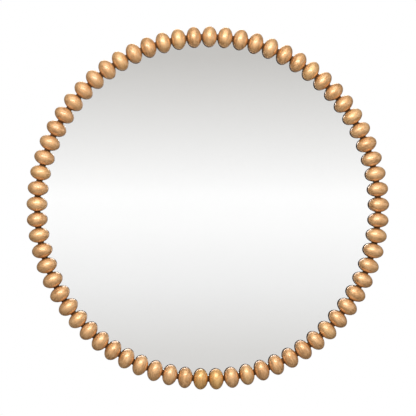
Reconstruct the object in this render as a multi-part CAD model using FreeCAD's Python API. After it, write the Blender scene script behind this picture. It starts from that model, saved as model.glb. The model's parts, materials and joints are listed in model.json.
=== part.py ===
import FreeCAD, Part
import math
import os

# A round wall mirror in a ring of gilded eggs that are planed flat behind, hung on two D-ring hangers.
# Lengths are millimetres and angles are degrees, counter-clockwise from +X as seen from the front.
# The origin is the mirror's centre on the plane of the wall: X to the right, Y into the wall, Z up.

# Ring of gilded eggs; the flat behind each lies BEAD_FLAT from its long axis
OVERALL_DIAMETER = 914.0
BEAD_LENGTH = 52.6
BEAD_WIDTH = 37.6
BEAD_END_RADIUS = 14.5
BEAD_GAP = 1.6
BEAD_FLAT = 6.0
FIRST_BEAD_ANGLE = 90.0
BEADS_PER_SET = 3

# Painted frame ring
RIM_OUTSET = 7.2
RIM_WIDTH = 14.7
FRAME_THICKNESS = 16.0
LEDGE_WIDTH = 74.0
FRAME_REAR_CHAMFER = 1.5

# Mirror glass on foam tape
GLASS_THICKNESS = 4.0
GLASS_ARRIS = 1.0
GLASS_EDGE_CLEARANCE = 0.75
GLASS_SETBACK = 0.2
TAPE_THICKNESS = 1.0
TAPE_WIDTH = 20.0
TAPE_INSET = 8.0
TAPE_COUNT = 8
TAPE_GAP = 60.0

# Hardboard back panel
PANEL_THICKNESS = 3.0
PANEL_LAP = 14.0
PANEL_CLEARANCE = 0.5
PANEL_SCREW_COUNT = 12
FIRST_PANEL_SCREW_ANGLE = 15.0

# Wood screws
BEAD_SCREW_DIAMETER = 3.5
BEAD_SCREW_HEAD = 7.0
BEAD_SCREW_BITE = 9.0
PANEL_SCREW_DIAMETER = 3.0
PANEL_SCREW_HEAD = 6.0
HANGER_SCREW_DIAMETER = 3.5
HANGER_SCREW_HEAD = 7.0
PAN_HEAD_HEIGHT = 2.2
PAN_HEAD_SHOULDER = 1.4
SCREW_TIP = 3.0
SCREW_COVER = 2.0
SCREW_CLEARANCE = 0.1
PILOT_EXTRA = 0.6
HEAD_SINK = 0.3
CROSS_SHARE = 0.55
CROSS_WIDTH = 0.9
CROSS_DEPTH = 1.2

# Folded hanger straps and their D-rings
HANGER_ANGLE = 42.0
STRAP_WIDTH = 16.0
STRAP_THICKNESS = 1.2
STRAP_FOLD = 6.5
STRAP_END = 7.0
STRAP_CORNER = 4.0
STRAP_HOLE_CLEARANCE = 0.4
WIRE_DIAMETER = 3.2
EYE_CLEARANCE = 0.05
RING_SIDE_CLEARANCE = 2.0
RING_INNER_HEIGHT = 18.0
RING_REST_GAP = 0.15
BAR_MARGIN = 0.4
HEAD_TO_RING = 2.5
HEAD_TO_FOLD = 1.0

# Rubber wall bumpers
BUMPER_ANGLES = (60.0, 120.0, 240.0, 300.0)
BUMPER_DIAMETER = 20.0
BUMPER_EDGE_RADIUS = 1.5
WALL_GAP = 1.3

# Circles of the ring, from the outside in
bead_circle = (OVERALL_DIAMETER - BEAD_LENGTH) / 2
bead_count = math.floor(math.pi / math.asin((BEAD_WIDTH + BEAD_GAP) / (2 * bead_circle)))
frame_radius = bead_circle + RIM_OUTSET
recess_radius = frame_radius - RIM_WIDTH
glass_radius = recess_radius - GLASS_EDGE_CLEARANCE
opening_radius = recess_radius - LEDGE_WIDTH
panel_radius = opening_radius + PANEL_LAP
panel_seat_radius = panel_radius + PANEL_CLEARANCE
hardware_circle = (panel_seat_radius + bead_circle - BEAD_SCREW_HEAD / 2) / 2

# Levels from the wall to the front; what lies nearer the viewer has a smaller Y
eye_inner = WIRE_DIAMETER / 2 + EYE_CLEARANCE
eye_outer = eye_inner + STRAP_THICKNESS
frame_rear = -(2 * eye_outer + WALL_GAP)
frame_front = frame_rear - FRAME_THICKNESS
recess_depth = TAPE_THICKNESS + GLASS_THICKNESS + GLASS_SETBACK
ledge_level = frame_front + recess_depth
glass_rear = ledge_level - TAPE_THICKNESS
glass_front = glass_rear - GLASS_THICKNESS
panel_seat = frame_rear - PANEL_THICKNESS

# D-ring: half width and corner of the wire's centre line, and its reach from the bar to the far end
ring_half_width = STRAP_WIDTH / 2 + RING_SIDE_CLEARANCE + WIRE_DIAMETER / 2
ring_corner = ring_half_width - STRAP_WIDTH / 2 - BAR_MARGIN
ring_reach = RING_INNER_HEIGHT + WIRE_DIAMETER
ring_lean = math.degrees(math.asin((eye_outer - WIRE_DIAMETER / 2 - RING_REST_GAP) / ring_reach))

# Strap: one screw inside the folded D-ring and one beyond it
near_screw_drop = STRAP_FOLD + HEAD_TO_FOLD + HANGER_SCREW_HEAD / 2
far_screw_drop = ring_reach + WIRE_DIAMETER / 2 + HEAD_TO_RING + HANGER_SCREW_HEAD / 2
strap_drop = far_screw_drop + STRAP_END
hanger_x = hardware_circle * math.cos(math.radians(HANGER_ANGLE))
hanger_z = hardware_circle * math.sin(math.radians(HANGER_ANGLE)) + strap_drop / 2

Vector = FreeCAD.Vector
ORIGIN = Vector(0, 0, 0)
X_AXIS = Vector(1, 0, 0)
Y_AXIS = Vector(0, 1, 0)


def disc(radius, rear, front):
    """Disc round the mirror's axis between two levels."""
    return Part.makeCylinder(radius, rear - front, Vector(0, front, 0), Y_AXIS)


def around(shape, angle):
    """Copy of a shape turned round the mirror's axis, from the +X direction to an angle."""
    turned = shape.copy()
    turned.rotate(ORIGIN, Y_AXIS, -angle)
    return turned


def moved(shape, x, y, z):
    """Copy of a shape moved by an offset."""
    shifted = shape.copy()
    shifted.translate(Vector(x, y, z))
    return shifted


def evenly(count, first):
    """Angles of evenly spaced copies round the ring."""
    return [first + 360.0 * index / count for index in range(count)]


def turned_solid(edges):
    """Solid of a half section, drawn in the XY plane, turned round the Y axis."""
    return Part.Face(Part.Wire(edges)).revolve(ORIGIN, Y_AXIS, 360)


def lines(points):
    """Straight edges through points that are given as pairs in the XY plane."""
    return Part.makePolygon([Vector(x, y, 0) for x, y in points]).Edges


def cross_recess(head_radius, level):
    """Cross-shaped driver recess, cut from a level into a screw head."""
    span = CROSS_SHARE * 2 * head_radius
    corner = Vector(-span / 2, level - CROSS_DEPTH, -CROSS_WIDTH / 2)
    arm = Part.makeBox(span, CROSS_DEPTH, CROSS_WIDTH, corner)
    return arm.fuse(around(arm, 90))


def countersunk_screw(diameter, head_diameter, length):
    """Countersunk wood screw, with the flat of its head at y = 0, that points to the front."""
    radius = diameter / 2
    head = head_diameter / 2
    tip = SCREW_TIP - length
    section = lines([(0, 0), (head, 0), (radius, radius - head), (radius, tip), (0, -length), (0, 0)])
    return turned_solid(section).cut(cross_recess(head, 0))


def pan_head_screw(diameter, head_diameter, length):
    """Pan-head wood screw, with the seat of its head at y = 0, that points to the front."""
    radius = diameter / 2
    head = head_diameter / 2
    top = PAN_HEAD_HEIGHT
    inset = PAN_HEAD_SHOULDER * (1 - math.sqrt(0.5))
    shoulder = Part.Arc(
        Vector(head, top - PAN_HEAD_SHOULDER, 0),
        Vector(head - inset, top - inset, 0),
        Vector(head - PAN_HEAD_SHOULDER, top, 0),
    ).toShape()
    tip = SCREW_TIP - length
    below = lines([(0, -length), (radius, tip), (radius, 0), (head, 0), (head, top - PAN_HEAD_SHOULDER)])
    above = lines([(head - PAN_HEAD_SHOULDER, top), (0, top), (0, -length)])
    return turned_solid(below + [shoulder] + above).cut(cross_recess(head, top))


def screw_hole(diameter, depth):
    """Cylinder from y = 0 to the front that clears a screw's shank."""
    return Part.makeCylinder(diameter / 2 + SCREW_CLEARANCE, depth, Vector(0, -depth, 0), Y_AXIS)


def egg_outline():
    """Half of the egg's outline, above X in the XY plane: two round ends and a flatter flank."""
    half_length = BEAD_LENGTH / 2
    half_width = BEAD_WIDTH / 2
    end_centre = half_length - BEAD_END_RADIUS
    narrowing = half_width - BEAD_END_RADIUS
    flank_offset = (end_centre ** 2 - narrowing ** 2) / (2 * narrowing)
    turn = math.atan2(flank_offset, end_centre)

    def on_end(side, angle):
        x = end_centre + BEAD_END_RADIUS * math.cos(angle)
        return Vector(side * x, BEAD_END_RADIUS * math.sin(angle), 0)

    return [
        Part.Arc(on_end(1, 0), on_end(1, turn / 2), on_end(1, turn)).toShape(),
        Part.Arc(on_end(1, turn), Vector(0, half_width, 0), on_end(-1, turn)).toShape(),
        Part.Arc(on_end(-1, turn), on_end(-1, turn / 2), on_end(-1, 0)).toShape(),
    ]


def flat_backed_egg():
    """Gilded egg with its long axis along X, planed flat on y = 0 behind that axis, and its pilot hole."""
    half_length = BEAD_LENGTH / 2
    long_axis = Part.LineSegment(Vector(-half_length, 0, 0), Vector(half_length, 0, 0)).toShape()
    egg = Part.Face(Part.Wire(egg_outline() + [long_axis])).revolve(ORIGIN, X_AXIS, 360)
    corner = Vector(-half_length, BEAD_FLAT, -BEAD_WIDTH / 2)
    waste = Part.makeBox(BEAD_LENGTH, BEAD_WIDTH, BEAD_WIDTH, corner)
    egg = moved(egg.cut(waste), 0, -BEAD_FLAT, 0)
    return egg.cut(screw_hole(BEAD_SCREW_DIAMETER, BEAD_SCREW_BITE + PILOT_EXTRA))


def frame_ring():
    """Ring with a recess for the glass in front, a seat for the panel behind and all screw holes."""
    body = disc(frame_radius, frame_rear, frame_front)
    rear_edge = [edge for edge in body.Edges if abs(edge.BoundBox.YMin - frame_rear) < 1e-6
                 and abs(edge.BoundBox.YMax - frame_rear) < 1e-6]
    body = body.makeChamfer(FRAME_REAR_CHAMFER, rear_edge)
    body = body.cut([
        disc(opening_radius, frame_rear, frame_front),
        disc(recess_radius, ledge_level, frame_front),
        disc(panel_seat_radius, frame_rear, panel_seat),
    ])
    mouth = BEAD_SCREW_HEAD / 2 + HEAD_SINK + SCREW_CLEARANCE
    countersink = Part.makeCone(mouth, 0, mouth, ORIGIN, -Y_AXIS)
    bead_hole = countersink.fuse(screw_hole(BEAD_SCREW_DIAMETER, FRAME_THICKNESS))
    bead_hole = moved(bead_hole, bead_circle, frame_rear, 0)
    holes = [around(bead_hole, angle) for angle in bead_angles]
    panel_pilot = screw_hole(PANEL_SCREW_DIAMETER, panel_bite + PILOT_EXTRA)
    panel_pilot = moved(panel_pilot, panel_screw_circle, panel_seat, 0)
    holes += [around(panel_pilot, angle) for angle in panel_screw_angles]
    hanger_pilot = screw_hole(HANGER_SCREW_DIAMETER, hanger_bite + PILOT_EXTRA)
    holes += [moved(hanger_pilot, x, frame_rear, z) for x, z in hanger_screw_places]
    return body.cut(holes)


def glass_disc():
    """Silvered glass disc with its sharp edges taken off."""
    glass = disc(glass_radius, glass_rear, glass_front)
    rims = [edge for edge in glass.Edges if edge.Closed and edge.Length > glass_radius]
    return glass.makeChamfer(GLASS_ARRIS, rims)


def tape_arc():
    """One strip of foam tape on the ledge, centred on +X."""
    outer = glass_radius - TAPE_INSET
    inner = outer - TAPE_WIDTH
    span = 360.0 / TAPE_COUNT - math.degrees(TAPE_GAP / outer)
    corners = [(inner, ledge_level), (outer, ledge_level), (outer, glass_rear), (inner, glass_rear)]
    section = Part.Face(Part.Wire(lines(corners + corners[:1])))
    return around(section.revolve(ORIGIN, Y_AXIS, -span), -span / 2)


def panel_disc():
    """Thin back panel with clearance holes for its screws."""
    panel = disc(panel_radius, frame_rear, panel_seat)
    hole = moved(screw_hole(PANEL_SCREW_DIAMETER, PANEL_THICKNESS), panel_screw_circle, frame_rear, 0)
    return panel.cut([around(hole, angle) for angle in panel_screw_angles])


def strap():
    """Steel strip folded round the D-ring's bar, whose axis is at x = 0, z = 0, with its screw holes."""
    thickness = STRAP_THICKNESS
    centre = Vector(0, frame_rear + eye_outer, 0)
    fold = Vector(0, frame_rear + 2 * thickness, -STRAP_FOLD)
    to_fold = fold - centre
    tangent = math.atan2(to_fold.z, to_fold.y) + math.acos(eye_outer / to_fold.Length)
    slope = math.tan(tangent)

    def on_eye(radius, angle):
        return centre + Vector(0, radius * math.cos(angle), radius * math.sin(angle))

    def eye_arc(radius):
        middle = on_eye(radius, (math.pi + tangent) / 2)
        return Part.Arc(on_eye(radius, math.pi), middle, on_eye(radius, tangent)).toShape()

    outside = Part.makePolygon([
        on_eye(eye_outer, tangent),
        fold,
        Vector(0, fold.y, -strap_drop),
        Vector(0, frame_rear, -strap_drop),
        on_eye(eye_outer, math.pi),
    ])
    inside_end = on_eye(eye_inner, tangent)
    inside_front = on_eye(eye_inner, math.pi)
    apex = Vector(0, inside_front.y, inside_end.z + (inside_end.y - inside_front.y) / slope)
    inside = Part.makePolygon([inside_end, apex, inside_front])
    section = Part.Face(Part.Wire([eye_arc(eye_outer)] + outside.Edges))
    section = section.cut(Part.Face(Part.Wire([eye_arc(eye_inner)] + inside.Edges)))
    strip = section.Faces[0].extrude(Vector(STRAP_WIDTH, 0, 0))
    strip.translate(Vector(-STRAP_WIDTH / 2, 0, 0))
    corners = [edge for edge in strip.Edges if abs(edge.BoundBox.ZMax + strap_drop) < 1e-6
               and edge.BoundBox.XLength < 1e-6]
    strip = strip.makeFillet(STRAP_CORNER, corners)
    hole = Part.makeCylinder(
        HANGER_SCREW_DIAMETER / 2 + STRAP_HOLE_CLEARANCE, 2 * thickness, Vector(0, frame_rear, 0), Y_AXIS)
    return strip.cut([moved(hole, 0, 0, -drop) for drop in (near_screw_drop, far_screw_drop)])


def d_ring():
    """Round wire bent to a D, with its bar on x = 0, z = 0 in the strap's eye, leaning on the frame."""
    level = frame_rear + eye_outer
    bar_end = ring_half_width - ring_corner
    shoulder = ring_reach - ring_half_width
    diagonal = ring_corner * (1 - math.sqrt(0.5))
    bend_x = ring_half_width - diagonal

    def at(x, z):
        return Vector(x, level, z)

    def line(first, last):
        return Part.LineSegment(first, last).toShape()

    def arc(first, middle, last):
        return Part.Arc(first, middle, last).toShape()

    path = Part.Wire([
        line(at(-bar_end, 0), at(bar_end, 0)),
        arc(at(bar_end, 0), at(bend_x, diagonal), at(ring_half_width, ring_corner)),
        line(at(ring_half_width, ring_corner), at(ring_half_width, shoulder)),
        arc(at(ring_half_width, shoulder), at(0, ring_reach), at(-ring_half_width, shoulder)),
        line(at(-ring_half_width, shoulder), at(-ring_half_width, ring_corner)),
        arc(at(-ring_half_width, ring_corner), at(-bend_x, diagonal), at(-bar_end, 0)),
    ])
    wire = Part.Wire([Part.Circle(at(-bar_end, 0), X_AXIS, WIRE_DIAMETER / 2).toShape()])
    ring = path.makePipeShell([wire], True, False)
    ring.rotate(at(0, 0), X_AXIS, ring_lean)
    return ring


def bumper():
    """Round rubber bumper on the frame's rear face, with a rounded rim where it meets the wall."""
    foot = Part.makeCylinder(BUMPER_DIAMETER / 2, -frame_rear, Vector(0, frame_rear, 0), Y_AXIS)
    rim = [edge for edge in foot.Edges if edge.Closed and abs(edge.BoundBox.YMin) < 1e-6]
    return foot.makeFillet(BUMPER_EDGE_RADIUS, rim)


# Places of the repeated pieces
bead_angles = evenly(bead_count, FIRST_BEAD_ANGLE)
panel_screw_angles = evenly(PANEL_SCREW_COUNT, FIRST_PANEL_SCREW_ANGLE)
panel_screw_circle = opening_radius + PANEL_LAP / 2
hanger_screw_places = [
    (side * hanger_x, hanger_z - drop) for side in (-1, 1) for drop in (near_screw_drop, far_screw_drop)
]

# How far the screws run into the frame's material before the ledge under the glass
panel_bite = panel_seat - ledge_level - SCREW_COVER
hanger_bite = frame_rear - ledge_level - SCREW_COVER

egg = flat_backed_egg()
eggs = [around(moved(egg, bead_circle, frame_front, 0), angle) for angle in bead_angles]
bead_screw = countersunk_screw(
    BEAD_SCREW_DIAMETER, BEAD_SCREW_HEAD, FRAME_THICKNESS - HEAD_SINK + BEAD_SCREW_BITE)
bead_screw = moved(bead_screw, bead_circle, frame_rear - HEAD_SINK, 0)
panel_screw = pan_head_screw(PANEL_SCREW_DIAMETER, PANEL_SCREW_HEAD, PANEL_THICKNESS + panel_bite)
panel_screw = moved(panel_screw, panel_screw_circle, frame_rear, 0)
hanger_screw = pan_head_screw(HANGER_SCREW_DIAMETER, HANGER_SCREW_HEAD, 2 * STRAP_THICKNESS + hanger_bite)
strip_of_tape = tape_arc()
hanger_strap = strap()
hanger_ring = d_ring()
rubber_bumper = bumper()

nodes = {
    "frame_ring": [frame_ring()],
    "mirror_glass": [glass_disc()],
    "glass_tape": [around(strip_of_tape, angle) for angle in evenly(TAPE_COUNT, 0)],
    "back_panel": [panel_disc()],
    "panel_screws": [around(panel_screw, angle) for angle in panel_screw_angles],
    "bead_screws": [around(bead_screw, angle) for angle in bead_angles],
    "hanger_screws": [
        moved(hanger_screw, x, frame_rear + 2 * STRAP_THICKNESS, z) for x, z in hanger_screw_places
    ],
}
for side, sign in (("left", -1), ("right", 1)):
    nodes["hanger_strap_" + side] = [moved(hanger_strap, sign * hanger_x, 0, hanger_z)]
    nodes["d_ring_" + side] = [moved(hanger_ring, sign * hanger_x, 0, hanger_z)]
for number, angle in enumerate(BUMPER_ANGLES, start=1):
    x = hardware_circle * math.cos(math.radians(angle))
    z = hardware_circle * math.sin(math.radians(angle))
    nodes["wall_bumper_%d" % number] = [moved(rubber_bumper, x, 0, z)]
for first in range(0, bead_count, BEADS_PER_SET):
    nodes["beads_%02d" % (first // BEADS_PER_SET + 1)] = eggs[first:first + BEADS_PER_SET]

os.makedirs("parts", exist_ok=True)
for name, solids in nodes.items():
    shape = solids[0] if len(solids) == 1 else Part.makeCompound(solids)
    shape.exportStep("parts/%s.step" % name)
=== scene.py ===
import json
import math
import random

import bmesh
import bpy
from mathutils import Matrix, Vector, noise


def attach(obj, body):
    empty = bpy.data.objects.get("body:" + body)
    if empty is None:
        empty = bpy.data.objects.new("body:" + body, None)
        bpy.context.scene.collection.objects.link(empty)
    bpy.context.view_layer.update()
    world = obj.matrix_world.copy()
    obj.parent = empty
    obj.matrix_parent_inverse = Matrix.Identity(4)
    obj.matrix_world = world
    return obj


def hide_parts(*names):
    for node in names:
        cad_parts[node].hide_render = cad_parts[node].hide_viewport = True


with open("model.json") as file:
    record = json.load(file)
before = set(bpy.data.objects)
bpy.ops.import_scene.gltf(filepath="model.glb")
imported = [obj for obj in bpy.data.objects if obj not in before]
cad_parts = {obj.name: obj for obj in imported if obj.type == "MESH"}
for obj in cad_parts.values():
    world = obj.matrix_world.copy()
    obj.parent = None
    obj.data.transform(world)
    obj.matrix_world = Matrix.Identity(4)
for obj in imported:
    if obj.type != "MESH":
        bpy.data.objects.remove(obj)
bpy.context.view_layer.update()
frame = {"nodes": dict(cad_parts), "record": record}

# Sizes of the CAD model in metres: the front faces -Y and the wall is the plane y = 0
BEAD_COUNT = 69
BEADS_PER_SET = 3
BEAD_CIRCLE = 0.4307
BEAD_LENGTH = 0.0526
BEAD_WIDTH = 0.0376
BEAD_FLAT = 0.006
FRAME_FRONT = -0.023
FRAME_REAR = -0.007
FRAME_RADIUS = 0.4379
BEAD_AXIS = FRAME_FRONT - BEAD_FLAT
GLASS_RADIUS = 0.42245
GLASS_FRONT = -0.0228
GLASS_REAR = -0.0188

# Hand work on the eggs: shares of the CAD size that keep the uneven surface inside the CAD box,
# angles in degrees, and the height and frequency of each wobble
EGG_LENGTHS = (0.984, 0.996)
EGG_WIDTHS = (0.984, 1.012)
EGG_DEPTHS = (0.978, 0.990)
EGG_LEAN = 1.6
EGG_BLUNTNESS = 0.020
EGG_WOBBLES = ((0.00030, 80.0), (0.00008, 230.0))
EGG_SEED = 1000
EGG_RINGS = 32
EGG_SIDES = 56
LEAF_EDGE = 84.5
UPPER_LEFT_ANGLE = 142.0

# Glass: the silver stays just clear of the tape behind it
GLASS_ARRIS = 0.001
GLASS_IOR = 1.52
GLASS_SIDES = 360
SILVER_CLEARANCE = 0.00015

# Viewpoint of the photograph
VIEW_AZIMUTH = -3.9
VIEW_ELEVATION = 1.0
VIEW_DISTANCE = 4.4
VIEW_TARGET = Vector((-0.0026, -0.03, 0.0006))
VIEW_LENS = 151.57
VIEW_ROLL = 0.19
SENSOR_WIDTH = 36.0

# Studio: elevation to which the lit wall fades, in degrees, and the floor
WALL_REACH = 30.0
FLOOR_LEVEL = -2.4
FLOOR_RADIUS = 9.6


class Graph:
    """Short calls that add shader nodes to a tree and link them."""

    def __init__(self, tree):
        self.tree = tree

    def node(self, kind, inputs=None, **settings):
        made = self.tree.nodes.new(kind)
        for name, value in settings.items():
            setattr(made, name, value)
        for name, value in (inputs or {}).items():
            self.put(made.inputs[name], value)
        return made

    def put(self, socket, value):
        if isinstance(value, bpy.types.NodeSocket):
            self.tree.links.new(value, socket)
        else:
            socket.default_value = value

    def math(self, operation, *values):
        made = self.node("ShaderNodeMath", operation=operation)
        for socket, value in zip(made.inputs, values):
            self.put(socket, value)
        return made.outputs[0]

    def clamped(self, value, low, high, to_low=0.0, to_high=1.0, smooth=True):
        """Value carried from one range to another, and held at its ends."""
        kind = "SMOOTHSTEP" if smooth else "LINEAR"
        made = self.node("ShaderNodeMapRange", interpolation_type=kind)
        for name, amount in zip(("Value", "From Min", "From Max", "To Min", "To Max"),
                                (value, low, high, to_low, to_high)):
            self.put(made.inputs[name], amount)
        return made.outputs[0]

    def mix(self, factor, first, second, blend="MIX"):
        made = self.node("ShaderNodeMix", data_type="RGBA", blend_type=blend)
        self.put(made.inputs[0], factor)
        self.put(made.inputs[6], first)
        self.put(made.inputs[7], second)
        return made.outputs[2]

    def noise(self, vector, scale, detail=3.0, roughness=0.55, distortion=0.0):
        made = self.node("ShaderNodeTexNoise", {
            "Vector": vector, "Scale": scale, "Detail": detail,
            "Roughness": roughness, "Distortion": distortion})
        return made.outputs[0]

    def cells(self, vector, scale, feature="F1", output="Distance"):
        made = self.node("ShaderNodeTexVoronoi", {"Vector": vector, "Scale": scale}, feature=feature)
        return made.outputs[output]

    def ramp(self, factor, stops):
        made = self.node("ShaderNodeValToRGB")
        elements = made.color_ramp.elements
        while len(elements) < len(stops):
            elements.new(0.5)
        for element, (position, colour) in zip(elements, stops):
            element.position = position
            element.color = colour
        self.put(made.inputs[0], factor)
        return made.outputs[0]

    def parts(self, vector):
        return self.node("ShaderNodeSeparateXYZ", {0: vector}).outputs

    def joined(self, x, y, z):
        return self.node("ShaderNodeCombineXYZ", {0: x, 1: y, 2: z}).outputs[0]

    def blend(self, *shares):
        """Sum of values, each times its share."""
        terms = [self.math("MULTIPLY", value, share) for value, share in shares]
        total = terms[0]
        for term in terms[1:]:
            total = self.math("ADD", total, term)
        return total

    def stretched(self, *axes):
        """Position made of three values, each times a scale of its own."""
        return self.joined(*[self.math("MULTIPLY", value, scale) for value, scale in axes])

    def radius(self, x, z):
        """Distance from the mirror's axis."""
        return self.math("SQRT", self.blend((x, x), (z, z)))

    def bump(self, height, distance, strength=1.0, below=None):
        made = self.node("ShaderNodeBump", {
            "Height": height, "Distance": distance, "Strength": strength})
        if below is not None:
            self.put(made.inputs["Normal"], below)
        return made.outputs[0]


def rgba(red, green, blue):
    return (red, green, blue, 1.0)


def new_material(name, **constants):
    """Material with its graph, its Principled shader and the object-space position."""
    made = bpy.data.materials.new(name)
    made.use_nodes = True
    graph = Graph(made.node_tree)
    shader = made.node_tree.nodes["Principled BSDF"]
    for socket, value in constants.items():
        shader.inputs[socket.replace("_", " ")].default_value = value
    place = graph.node("ShaderNodeTexCoord").outputs["Object"]
    return made, graph, shader, place


def gold_leaf():
    """Lacquered leaf, brushed and mottled, toned from egg to egg, with the ground at its laps and
    painted shade on the sides that face the next egg.
    """
    made, graph, shader, place = new_material(
        "gold_leaf", Metallic=0.8, Specular_Tint=rgba(1.0, 0.82, 0.64), Coat_Weight=1.0,
        Coat_IOR=1.75, Coat_Roughness=0.22)
    x, y, z = graph.parts(place)
    radius = graph.radius(x, z)
    angle = graph.math("ARCTAN2", z, x)
    along = graph.math("MULTIPLY", angle, BEAD_CIRCLE)
    from_top = graph.math("SUBTRACT", angle, math.pi / 2)
    place_in_ring = graph.math("MULTIPLY", from_top, BEAD_COUNT / math.tau)
    nearest = graph.math("ROUND", place_in_ring)
    aside = graph.math("ABSOLUTE", graph.math("SUBTRACT", place_in_ring, nearest))
    index = graph.math("FLOORED_MODULO", nearest, float(BEAD_COUNT))
    tone = graph.node(
        "ShaderNodeTexWhiteNoise", {"W": index}, noise_dimensions="1D").outputs["Value"]

    clouds = graph.noise(place, 70.0, 4.0, 0.6, 0.6)
    strokes = graph.noise(
        graph.stretched((radius, 90.0), (along, 900.0), (y, 700.0)), 1.0, 3.0, 0.6)
    brushed = graph.noise(
        graph.stretched((radius, 38.0), (along, 260.0), (y, 200.0)), 1.0, 2.0, 0.5)
    specks = graph.noise(place, 1400.0, 2.0, 0.6)
    laps = graph.clamped(graph.cells(place, 34.0, "DISTANCE_TO_EDGE"), 0.0, 0.035, 1.0, 0.0)

    level = graph.blend((clouds, 0.45), (strokes, 0.2), (brushed, 0.45), (tone, 0.10))
    leaf = graph.ramp(level, [
        (0.41, rgba(0.58, 0.270, 0.084)),
        (0.58, rgba(0.91, 0.512, 0.212)),
        (0.75, rgba(0.99, 0.650, 0.335)),
    ])

    # Some eggs are yellower, and the two at the bottom most of all
    lowest = graph.math("MULTIPLY", graph.clamped(z, -0.38, -0.37, 1.0, 0.0),
                        graph.clamped(graph.math("ABSOLUTE", x), 0.0388, 0.0396, 1.0, 0.0))
    yellow = graph.math("MAXIMUM", graph.clamped(tone, 0.70, 1.0, 0.0, 0.25),
                        graph.math("MULTIPLY", lowest, 0.6))
    leaf = graph.mix(yellow, leaf, graph.mix(1.0, leaf, rgba(1.0, 0.96, 0.52), "MULTIPLY"))

    # The ground shows at the laps and in the specks; the sides that face the next egg carry painted
    # shade
    leaf = graph.mix(graph.math("MULTIPLY", laps, 0.20), leaf, rgba(0.52, 0.26, 0.11))
    # Painted shade: the flanks of each egg beside its neighbours are darkened to brown
    leaf = graph.mix(graph.clamped(aside, 0.36, 0.49, 0.0, 0.75), leaf, rgba(0.30, 0.135, 0.05))
    leaf = graph.mix(graph.clamped(specks, 0.66, 0.80, 0.0, 0.35), leaf, rgba(0.45, 0.24, 0.11))

    # The eggs at the upper left are a little darker and rougher
    off_centre = graph.math("ABSOLUTE", graph.math("SUBTRACT", angle, math.radians(UPPER_LEFT_ANGLE)))
    upper_left = graph.clamped(off_centre, math.radians(18.0), math.radians(42.0), 1.0, 0.0)
    leaf = graph.mix(graph.math("MULTIPLY", upper_left, 0.10), leaf, rgba(0.45, 0.24, 0.11))

    graph.put(shader.inputs["Base Color"], leaf)
    rough = graph.math("ADD", graph.clamped(clouds, 0.3, 0.7, 0.50, 0.60),
                       graph.clamped(brushed, 0.3, 0.7, -0.07, 0.05))
    rough = graph.math("ADD", rough, graph.math("MULTIPLY", upper_left, 0.08))
    graph.put(shader.inputs["Roughness"], rough)
    relief = graph.bump(strokes, 0.00010, 0.5)
    relief = graph.bump(brushed, 0.0005, 0.4, relief)
    relief = graph.bump(laps, 0.00004, 0.6, relief)
    graph.put(shader.inputs["Normal"], graph.bump(clouds, 0.0008, 0.4, relief))
    return made


def egg_back_paint():
    """Flat dark brown paint on the underside of the eggs, behind the leaf."""
    made, graph, shader, place = new_material("egg_back_paint", Specular_IOR_Level=0.05)
    clouds = graph.noise(place, 160.0, 4.0, 0.6)
    graph.put(shader.inputs["Base Color"], graph.ramp(clouds, [
        (0.3, rgba(0.034, 0.014, 0.005)), (0.7, rgba(0.066, 0.029, 0.011))]))
    graph.put(shader.inputs["Roughness"], graph.clamped(clouds, 0.3, 0.7, 0.65, 0.85))
    graph.put(shader.inputs["Normal"], graph.bump(clouds, 0.0002, 0.4))
    return made


def frame_paint():
    """Satin brown paint on board: redder behind the eggs, rubbed through along the rear edge."""
    made, graph, shader, place = new_material("frame_paint", Specular_IOR_Level=0.25)
    x, y, z = graph.parts(place)
    radius = graph.radius(x, z)
    clouds = graph.noise(place, 24.0, 4.0, 0.6)
    peel = graph.noise(place, 650.0, 2.0, 0.5)
    front = graph.ramp(clouds, [
        (0.30, rgba(0.245, 0.097, 0.031)), (0.72, rgba(0.385, 0.166, 0.056))])
    rear = graph.ramp(clouds, [
        (0.30, rgba(0.070, 0.040, 0.024)), (0.72, rgba(0.112, 0.066, 0.041))])
    paint = graph.mix(graph.clamped(y, FRAME_FRONT + 0.0006, FRAME_FRONT + 0.0022), front, rear)
    corner = graph.math(
        "MULTIPLY", graph.clamped(radius, FRAME_RADIUS - 0.0022, FRAME_RADIUS - 0.0004),
        graph.clamped(y, FRAME_REAR - 0.0022, FRAME_REAR - 0.0008))
    rubbed = graph.clamped(graph.noise(place, 120.0, 5.0, 0.7), 0.50, 0.62)
    worn = graph.math("MULTIPLY", corner, rubbed)
    graph.put(shader.inputs["Base Color"], graph.mix(worn, paint, rgba(0.30, 0.20, 0.12)))
    rough = graph.clamped(clouds, 0.3, 0.7, 0.36, 0.52)
    graph.put(shader.inputs["Roughness"], graph.math("ADD", rough, graph.math("MULTIPLY", worn, 0.3)))
    graph.put(shader.inputs["Normal"], graph.bump(peel, 0.0002, 0.35))
    return made


def clear_glass():
    """Polished float glass with a ground, greenish edge."""
    made, graph, shader, place = new_material(
        "clear_glass", Transmission_Weight=1.0, IOR=GLASS_IOR)
    x, _, z = graph.parts(place)
    radius = graph.radius(x, z)
    grit = graph.noise(place, 1600.0, 2.0, 0.6)
    ground = graph.clamped(radius, GLASS_RADIUS - 0.0012, GLASS_RADIUS - 0.0008)
    rim = graph.ramp(grit, [(0.3, rgba(0.42, 0.58, 0.52)), (0.7, rgba(0.62, 0.74, 0.70))])
    graph.put(shader.inputs["Base Color"], graph.mix(ground, rgba(0.998, 1.0, 0.999), rim))
    graph.put(shader.inputs["Roughness"], graph.math("MULTIPLY", ground, 0.45))
    return made


def silver():
    """Silver on the rear of the glass, with the faintest haze."""
    made, graph, shader, place = new_material("silver", Metallic=1.0)
    haze = graph.noise(place, 9.0, 3.0, 0.5)
    graph.put(shader.inputs["Base Color"], graph.ramp(haze, [
        (0.2, rgba(0.962, 0.963, 0.962)), (0.8, rgba(0.972, 0.972, 0.971))]))
    graph.put(shader.inputs["Roughness"], graph.clamped(haze, 0.3, 0.7, 0.0, 0.012))
    return made


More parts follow.
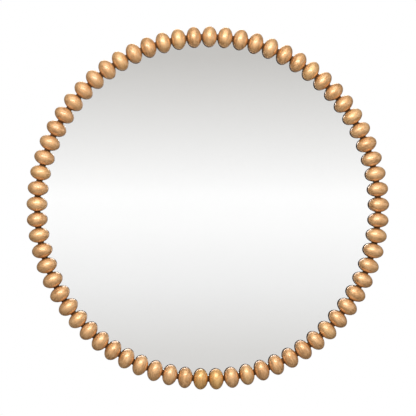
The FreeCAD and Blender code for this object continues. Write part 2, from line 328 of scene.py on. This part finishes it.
def foam_tape():
    """White closed-cell foam."""
    made, graph, shader, place = new_material("foam_tape", Roughness=0.85)
    pores = graph.cells(place, 1500.0)
    colour = graph.ramp(pores, [(0.05, rgba(0.52, 0.52, 0.49)), (0.35, rgba(0.84, 0.84, 0.81))])
    graph.put(shader.inputs["Base Color"], colour)
    graph.put(shader.inputs["Normal"], graph.bump(pores, 0.0003, 0.5))
    return made


def hardboard():
    """Pressed brown wood fibre: felted strands, darker flecks and a faint press sheen."""
    made, graph, shader, place = new_material("hardboard", Specular_IOR_Level=0.35)
    x, y, z = graph.parts(place)
    clouds = graph.noise(place, 14.0, 4.0, 0.6)
    strands = []
    for turn in (0.35, 1.45, 2.50):
        across = graph.blend((x, math.cos(turn)), (z, math.sin(turn)))
        length = graph.blend((z, math.cos(turn)), (x, -math.sin(turn)))
        strands.append(graph.noise(
            graph.stretched((across, 620.0), (y, 620.0), (length, 80.0)), 1.0, 3.0, 0.6, 0.8))
    felt = graph.blend(*[(strand, 1 / len(strands)) for strand in strands])
    level = graph.blend((felt, 0.7), (clouds, 0.3))
    board = graph.ramp(level, [
        (0.34, rgba(0.120, 0.064, 0.032)),
        (0.50, rgba(0.225, 0.130, 0.068)),
        (0.66, rgba(0.330, 0.205, 0.115)),
    ])
    flecks = graph.clamped(graph.noise(place, 420.0, 2.0, 0.5), 0.66, 0.74, 0.0, 0.7)
    graph.put(shader.inputs["Base Color"], graph.mix(flecks, board, rgba(0.060, 0.032, 0.017)))
    graph.put(shader.inputs["Roughness"], graph.clamped(felt, 0.35, 0.65, 0.48, 0.66))
    graph.put(shader.inputs["Normal"], graph.bump(felt, 0.0003, 0.4))
    return made


def zinc_steel():
    """Bright zinc plate with a faint passivation tint and fine handling scratches."""
    made, graph, shader, place = new_material(
        "zinc_steel", Metallic=1.0, Specular_Tint=rgba(0.95, 0.96, 1.0))
    x, y, z = graph.parts(place)
    bloom = graph.noise(place, 160.0, 4.0, 0.6, 0.5)
    scratches = graph.noise(
        graph.stretched((x, 3200.0), (y, 2400.0), (z, 260.0)), 1.0, 2.0, 0.6)
    plate = graph.ramp(bloom, [
        (0.30, rgba(0.52, 0.53, 0.55)),
        (0.52, rgba(0.66, 0.66, 0.65)),
        (0.70, rgba(0.74, 0.72, 0.66)),
    ])
    graph.put(shader.inputs["Base Color"], plate)
    rough = graph.math("ADD", graph.clamped(bloom, 0.3, 0.7, 0.24, 0.38),
                       graph.clamped(scratches, 0.4, 0.7, 0.0, 0.08))
    graph.put(shader.inputs["Roughness"], rough)
    graph.put(shader.inputs["Normal"], graph.bump(scratches, 0.00003, 0.5))
    return made


def bumper_rubber():
    """Matt black moulded rubber with a little dust."""
    made, graph, shader, place = new_material("bumper_rubber", Specular_IOR_Level=0.3)
    grain = graph.noise(place, 1500.0, 3.0, 0.6)
    dust = graph.clamped(graph.noise(place, 260.0, 4.0, 0.65), 0.50, 0.72, 0.0, 0.5)
    rubber = graph.ramp(grain, [(0.3, rgba(0.010, 0.010, 0.011)), (0.7, rgba(0.024, 0.024, 0.025))])
    graph.put(shader.inputs["Base Color"], graph.mix(dust, rubber, rgba(0.070, 0.068, 0.064)))
    graph.put(shader.inputs["Roughness"], graph.clamped(grain, 0.3, 0.7, 0.62, 0.82))
    graph.put(shader.inputs["Normal"], graph.bump(grain, 0.00015, 0.5))
    return made


def add_egg(shape, number, chance):
    """Adds one gilded egg to a mesh: full in front, flat where it sits on the frame."""
    angle = math.pi / 2 + math.tau * number / BEAD_COUNT
    outward = Vector((math.cos(angle), 0.0, math.sin(angle)))
    sideways = Vector((-math.sin(angle), 0.0, math.cos(angle)))
    centre = outward * BEAD_CIRCLE + Vector((0.0, BEAD_AXIS, 0.0))
    half_length = BEAD_LENGTH / 2 * chance.uniform(*EGG_LENGTHS)
    half_width = BEAD_WIDTH / 2 * chance.uniform(*EGG_WIDTHS)
    half_depth = BEAD_WIDTH / 2 * chance.uniform(*EGG_DEPTHS)
    lean = math.radians(chance.uniform(-EGG_LEAN, EGG_LEAN))
    blunt = chance.uniform(-EGG_BLUNTNESS, EGG_BLUNTNESS)
    long_axis = outward * math.cos(lean) + sideways * math.sin(lean)
    short_axis = sideways * math.cos(lean) - outward * math.sin(lean)
    turn_back = math.acos(-BEAD_FLAT / half_depth)
    leaf_rings = round(EGG_RINGS * math.radians(LEAF_EDGE) / turn_back)

    def surface(polar, turn, swell):
        u = math.sin(polar) * math.cos(turn)
        v = math.sin(polar) * math.sin(turn)
        width = half_width * (1.0 + blunt * u)
        depth = half_depth * math.cos(polar)
        point = (centre + long_axis * (half_length * u) + short_axis * (width * v)
                 - Vector((0.0, depth, 0.0)))
        normal = (long_axis * (u / half_length) + short_axis * (v / half_width)
                  - Vector((0.0, math.cos(polar) / half_depth, 0.0))).normalized()
        wobble = sum(height * noise.noise(point * often) for height, often in EGG_WOBBLES)
        return point + normal * (wobble * swell)

    pole = shape.verts.new(surface(0.0, 0.0, 1.0))
    loops = []
    for ring in range(1, EGG_RINGS + 1):
        polar = turn_back * ring / EGG_RINGS
        swell = 1.0 - (ring / EGG_RINGS) ** 5
        loops.append([shape.verts.new(surface(polar, math.tau * step / EGG_SIDES, swell))
                      for step in range(EGG_SIDES)])
    heart = shape.verts.new(centre + Vector((0.0, BEAD_FLAT, 0.0)))
    faces = []
    for step in range(EGG_SIDES):
        after = (step + 1) % EGG_SIDES
        faces.append(shape.faces.new((pole, loops[0][step], loops[0][after])))
        for ring, (inner, outer) in enumerate(zip(loops, loops[1:]), start=1):
            face = shape.faces.new((inner[step], outer[step], outer[after], inner[after]))
            face.material_index = 1 if ring >= leaf_rings else 0
            faces.append(face)
        back = shape.faces.new((heart, loops[-1][after], loops[-1][step]))
        back.smooth = False
        back.material_index = 1
        shape.edges.get((loops[-1][step], loops[-1][after])).smooth = False
    for face in faces:
        face.smooth = True


def add_beads(leaf, back_paint):
    """One piece for each set of eggs of the CAD model, in its place."""
    for first in range(0, BEAD_COUNT, BEADS_PER_SET):
        name = "beads_%02d" % (first // BEADS_PER_SET + 1)
        shape = bmesh.new()
        for number in range(first, first + BEADS_PER_SET):
            add_egg(shape, number, random.Random(EGG_SEED + number))
        bmesh.ops.recalc_face_normals(shape, faces=shape.faces)
        mesh = bpy.data.meshes.new("gilded_" + name)
        shape.to_mesh(mesh)
        shape.free()
        mesh.materials.append(leaf)
        mesh.materials.append(back_paint)
        piece = bpy.data.objects.new("gilded_" + name, mesh)
        bpy.context.scene.collection.objects.link(piece)
        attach(piece, "mirror")
        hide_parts(name)


def add_mirror(glass, backing):
    """The sheet of glass, clear in front and at its ground edge, with silver on its rear face."""
    rear = GLASS_REAR - SILVER_CLEARANCE
    profile = [
        (GLASS_RADIUS - GLASS_ARRIS, GLASS_FRONT), (GLASS_RADIUS, GLASS_FRONT + GLASS_ARRIS),
        (GLASS_RADIUS, rear - GLASS_ARRIS), (GLASS_RADIUS - GLASS_ARRIS, rear)]
    turns = [math.tau * step / GLASS_SIDES for step in range(GLASS_SIDES)]
    shape = bmesh.new()
    loops = []
    for radius, y in profile:
        loops.append([shape.verts.new((radius * math.cos(turn), y, radius * math.sin(turn)))
                      for turn in turns])
    shape.faces.new(loops[0])
    shape.faces.new(loops[-1]).material_index = 1
    for inner, outer in zip(loops, loops[1:]):
        for step in range(GLASS_SIDES):
            after = (step + 1) % GLASS_SIDES
            shape.faces.new((inner[step], outer[step], outer[after], inner[after]))
    bmesh.ops.recalc_face_normals(shape, faces=shape.faces)
    mesh = bpy.data.meshes.new("silvered_mirror")
    shape.to_mesh(mesh)
    shape.free()
    mesh.materials.append(glass)
    mesh.materials.append(backing)
    piece = bpy.data.objects.new("silvered_mirror", mesh)
    bpy.context.scene.collection.objects.link(piece)
    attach(piece, "mirror")
    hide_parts("mirror_glass")


def paint_nodes(finishes):
    """Gives each CAD node that stays the material of its slot in the record."""
    for row in frame["record"]["subparts"]:
        node = frame["nodes"][row["node"]]
        if row["material_slot"] not in finishes:
            continue
        if not node.material_slots:
            node.data.materials.append(None)
        for slot in node.material_slots:
            slot.material = finishes[row["material_slot"]]


def direction(azimuth, elevation):
    """Unit vector from the mirror; azimuth 0 is straight ahead and positive is to the right."""
    turn, rise = math.radians(azimuth), math.radians(elevation)
    return Vector((
        math.sin(turn) * math.cos(rise), -math.cos(turn) * math.cos(rise), math.sin(rise)))


def set_world():
    """White for the camera; for the object, a dim studio with a lit wall in front of it."""
    world = bpy.data.worlds.new("studio")
    bpy.context.scene.world = world
    world.use_nodes = True
    graph = Graph(world.node_tree)
    world.node_tree.nodes.clear()
    ray = graph.node("ShaderNodeTexCoord").outputs["Generated"]
    _, y, z = graph.parts(ray)
    height = graph.math("MULTIPLY", graph.math("ARCSINE", z), math.degrees(1.0))

    def grey(value):
        return rgba(value, value, value)

    def stop(elevation, value, warmth):
        colour = rgba(value, value * (1.0 - 0.4 * warmth), value * (1.0 - warmth))
        return (elevation + WALL_REACH) / (2 * WALL_REACH), colour

    up_wall = graph.clamped(height, -WALL_REACH, WALL_REACH, 0.0, 1.0, smooth=False)
    wall = graph.ramp(up_wall, [
        stop(-11.8, 0.50, 0.05), stop(-5.71, 0.715, 0.03), stop(-3.54, 0.885, 0.0),
        stop(-1.61, 1.0, 0.0), stop(-0.61, 1.03, 0.0), stop(3.95, 0.585, 0.05),
        stop(8.28, 0.50, 0.05)])
    level = graph.clamped(z, -1.0, 1.0, 0.0, 1.0, smooth=False)
    behind = graph.ramp(level, [(0.0, grey(0.10)), (0.5, grey(0.20)), (1.0, grey(0.30))])
    before = graph.ramp(level, [
        (0.0, grey(0.25)), (0.10, grey(0.22)), (0.24, grey(0.13)),
        (0.45, grey(0.23)), (0.55, grey(0.32)), (1.0, grey(0.43))])
    toward = graph.math("MULTIPLY", y, -1.0)
    light = graph.mix(graph.clamped(toward, -0.15, 0.35), behind, before)
    light = graph.mix(graph.clamped(toward, 0.45, 0.90), light, wall)
    seen = graph.node("ShaderNodeLightPath").outputs["Is Camera Ray"]
    background = graph.node("ShaderNodeBackground", {
        "Color": graph.mix(seen, light, grey(1.0)), "Strength": 1.0})
    output = graph.node("ShaderNodeOutputWorld")
    graph.put(output.inputs["Surface"], background.outputs[0])


def add_light(name, azimuth, elevation, distance, width, height, radiance):
    """Soft box that faces the mirror; its power follows from the brightness of its face."""
    lamp = bpy.data.lights.new(name, "AREA")
    lamp.shape = "RECTANGLE"
    lamp.size = width
    lamp.size_y = height
    lamp.energy = radiance * math.pi * width * height
    box = bpy.data.objects.new(name, lamp)
    box.location = direction(azimuth, elevation) * distance
    box.rotation_euler = (-box.location).to_track_quat("-Z", "Y").to_euler()
    box.visible_camera = False
    bpy.context.scene.collection.objects.link(box)
    return box


def add_floor():
    """Pale floor far below the hanging mirror, left out of what the mirror and the leaf reflect."""
    shape = bmesh.new()
    bmesh.ops.create_circle(shape, cap_ends=True, segments=128, radius=FLOOR_RADIUS)
    mesh = bpy.data.meshes.new("floor")
    shape.to_mesh(mesh)
    shape.free()
    floor = bpy.data.objects.new("floor", mesh)
    floor.location = (0.0, 0.0, FLOOR_LEVEL)
    bpy.context.scene.collection.objects.link(floor)
    made, graph, shader, place = new_material("pale_floor", Roughness=0.8)
    clouds = graph.noise(place, 1.5, 3.0, 0.5)
    graph.put(shader.inputs["Base Color"], graph.ramp(clouds, [
        (0.3, rgba(0.78, 0.78, 0.77)), (0.7, rgba(0.82, 0.82, 0.81))]))
    mesh.materials.append(made)
    floor.visible_glossy = False
    floor.visible_transmission = False


def add_camera():
    """Camera at the photograph's viewpoint."""
    camera = bpy.data.objects.new("camera", bpy.data.cameras.new("camera"))
    camera.data.lens = VIEW_LENS
    camera.data.sensor_width = SENSOR_WIDTH
    camera.location = VIEW_TARGET + direction(VIEW_AZIMUTH, VIEW_ELEVATION) * VIEW_DISTANCE
    camera.rotation_euler = (VIEW_TARGET - camera.location).to_track_quat("-Z", "Y").to_euler()
    camera.rotation_euler.rotate_axis("Z", math.radians(VIEW_ROLL))
    bpy.context.scene.collection.objects.link(camera)
    bpy.context.scene.camera = camera


add_beads(gold_leaf(), egg_back_paint())
add_mirror(clear_glass(), silver())
paint_nodes({
    "frame_paint": frame_paint(),
    "foam_tape": foam_tape(),
    "hardboard": hardboard(),
    "zinc_steel": zinc_steel(),
    "bumper_rubber": bumper_rubber(),
})
set_world()
add_light("key", azimuth=-9.0, elevation=22.3, distance=2.8, width=2.2, height=0.80, radiance=6.4)
add_light("fill", azimuth=62.0, elevation=4.0, distance=3.6, width=2.2, height=2.0, radiance=0.6)
add_light("overhead", azimuth=4.0, elevation=48.0, distance=4.2, width=3.0, height=2.0, radiance=1.5)
add_light("rear", azimuth=180.0, elevation=38.0, distance=4.5, width=2.6, height=2.0, radiance=3.0)
ceiling = add_light(
    "ceiling", azimuth=0.0, elevation=89.0, distance=4.0, width=4.0, height=4.0, radiance=2.4)
ceiling.visible_glossy = False
add_floor()
add_camera()
bpy.context.scene.view_settings.view_transform = "Standard"
